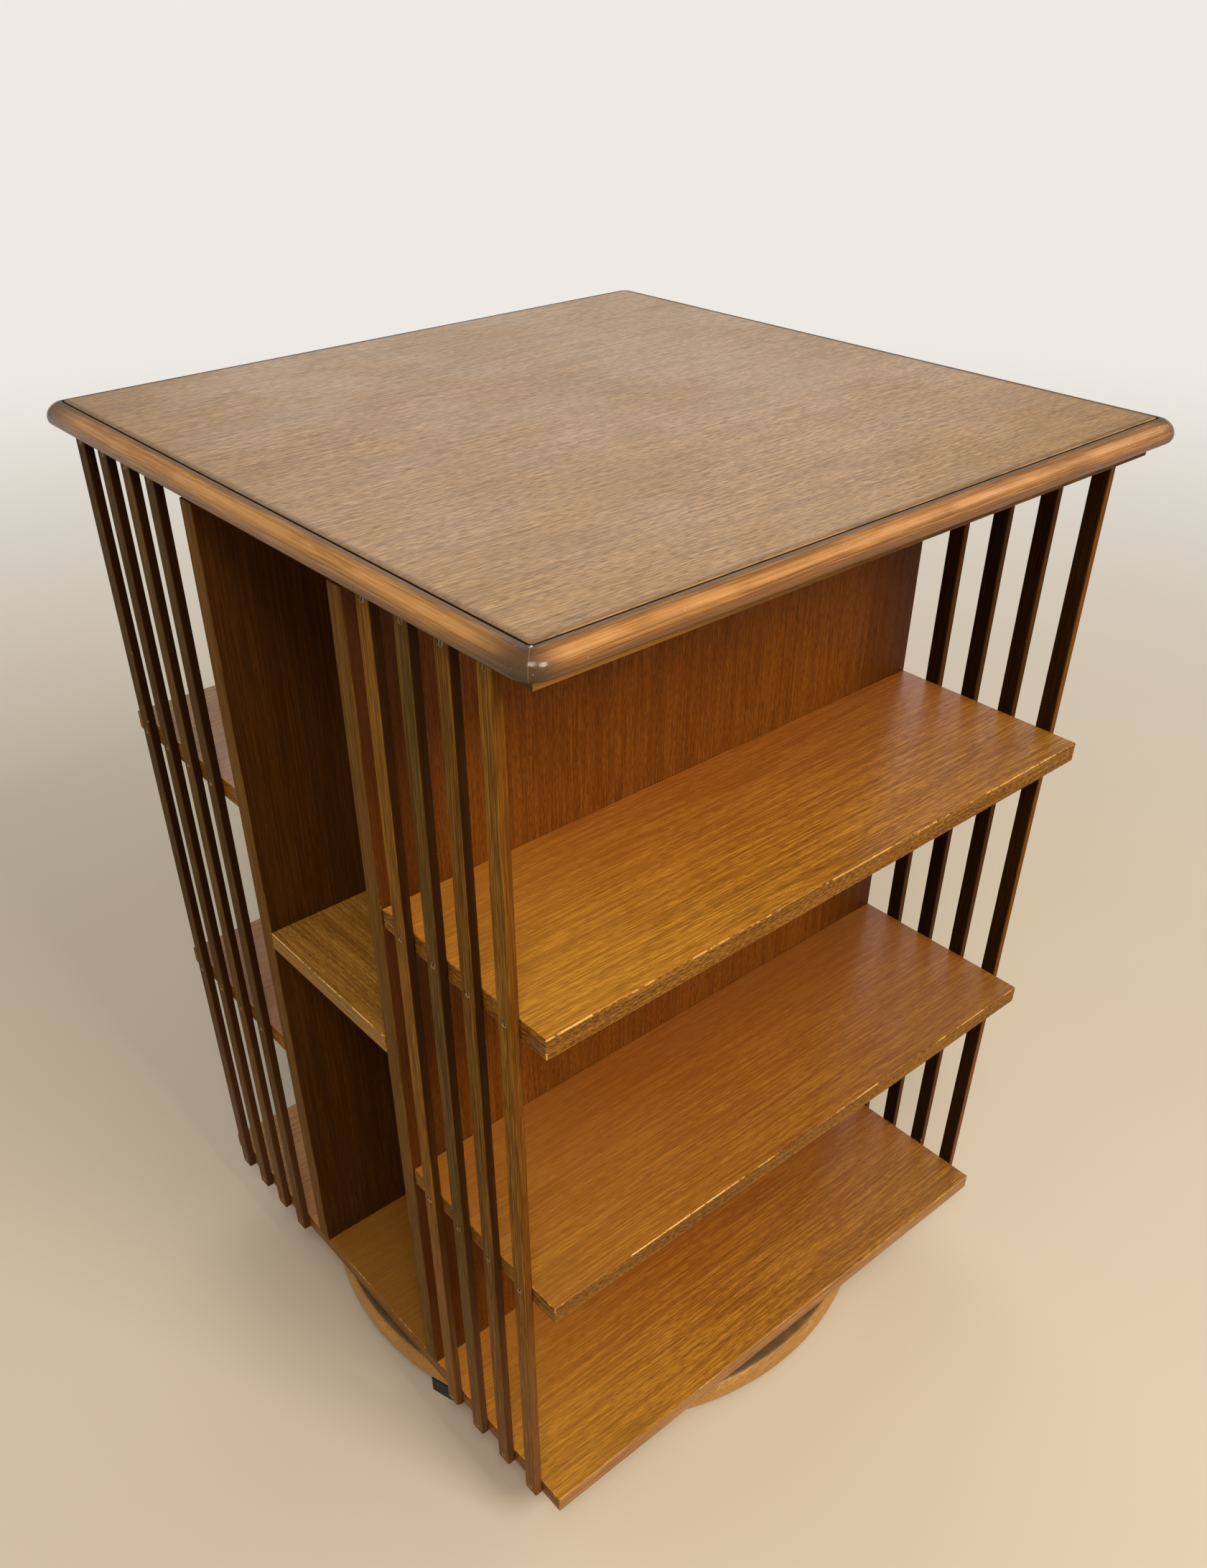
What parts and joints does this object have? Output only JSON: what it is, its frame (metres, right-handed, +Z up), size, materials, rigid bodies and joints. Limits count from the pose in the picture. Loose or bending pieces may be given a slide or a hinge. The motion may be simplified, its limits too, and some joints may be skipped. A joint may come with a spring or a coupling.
{
  "type": "revolving bookcase",
  "caption": "Square oak bookcase with open shelves, slatted ends and a lipped top, turning on a round base with three low feet.",
  "frame": {"origin": "on the floor under the spindle, at the middle of the plan", "axes": "+Z up along the spindle; -Y out of the front shelves; -X and +X out of the slatted ends"},
  "size_m": [0.5684, 0.5684, 0.829],
  "materials": {
    "oak_veneer_top": "oak veneer, satin varnish, dulled by use",
    "oak_lipping": "stained oak, glossy varnish",
    "oak_frame": "stained oak, satin varnish",
    "oak_veneer_shelf": "oak veneer, satin varnish",
    "oak_veneer_inside": "oak veneer, thin varnish",
    "oak_partition": "oak veneer, satin varnish",
    "oak_slat": "stained oak, satin varnish",
    "oak_base": "oak, satin varnish",
    "black_foot": "blackened hardwood",
    "beech_dowel": "plain beech",
    "dark_screw": "darkened steel",
    "bright_steel": "turned steel, oiled",
    "polished_steel": "polished bearing steel",
    "bearing_bronze": "turned bearing bronze"
  },
  "bodies": {
    "base": {"base_disc": "oak_base", "flange_screws": "bright_steel", "foot_1": "black_foot", "foot_2": "black_foot", "foot_3": "black_foot", "spindle": "bright_steel", "spindle_flange": "bright_steel", "thrust_ball": "polished_steel"},
    "carcass": {"bottom_board": "oak_veneer_shelf", "divider_left": "oak_partition", "divider_right": "oak_partition", "lower_bush": "bearing_bronze", "niche_shelf_left": "oak_veneer_shelf", "niche_shelf_right": "oak_veneer_shelf", "partition_back": "oak_partition", "partition_dowels": "beech_dowel", "partition_front": "oak_partition", "pivot_block": "oak_frame", "pivot_cup": "bearing_bronze", "shelf_back_lower": "oak_veneer_shelf", "shelf_back_upper": "oak_veneer_shelf", "shelf_dowels": "beech_dowel", "shelf_front_lower": "oak_veneer_shelf", "shelf_front_upper": "oak_veneer_shelf", "slat_left_1": "oak_slat", "slat_left_2": "oak_slat", "slat_left_3": "oak_slat", "slat_left_4": "oak_slat", "slat_left_5": "oak_slat", "slat_left_6": "oak_slat", "slat_left_7": "oak_slat", "slat_left_8": "oak_slat", "slat_right_1": "oak_slat", "slat_right_2": "oak_slat", "slat_right_3": "oak_slat", "slat_right_4": "oak_slat", "slat_right_5": "oak_slat", "slat_right_6": "oak_slat", "slat_right_7": "oak_slat", "slat_right_8": "oak_slat", "slat_screws_bottom": "dark_screw", "slat_screws_lower": "dark_screw", "slat_screws_top": "dark_screw", "slat_screws_upper": "dark_screw", "sub_rail_back": "oak_frame", "sub_rail_front": "oak_frame", "sub_rail_left": "oak_frame", "sub_rail_right": "oak_frame", "sub_top": "oak_veneer_inside", "top_lipping_back": "oak_lipping", "top_lipping_front": "oak_lipping", "top_lipping_left": "oak_lipping", "top_lipping_right": "oak_lipping", "top_panel": "oak_veneer_top", "top_screws": "dark_screw"}
  },
  "joints": [
    {"name": "carcass_spin", "type": "hinge", "parent": "base", "child": "carcass", "pos_m": [0, 0, 0], "axis": [0, 0, 1], "continuous": true}
  ]
}
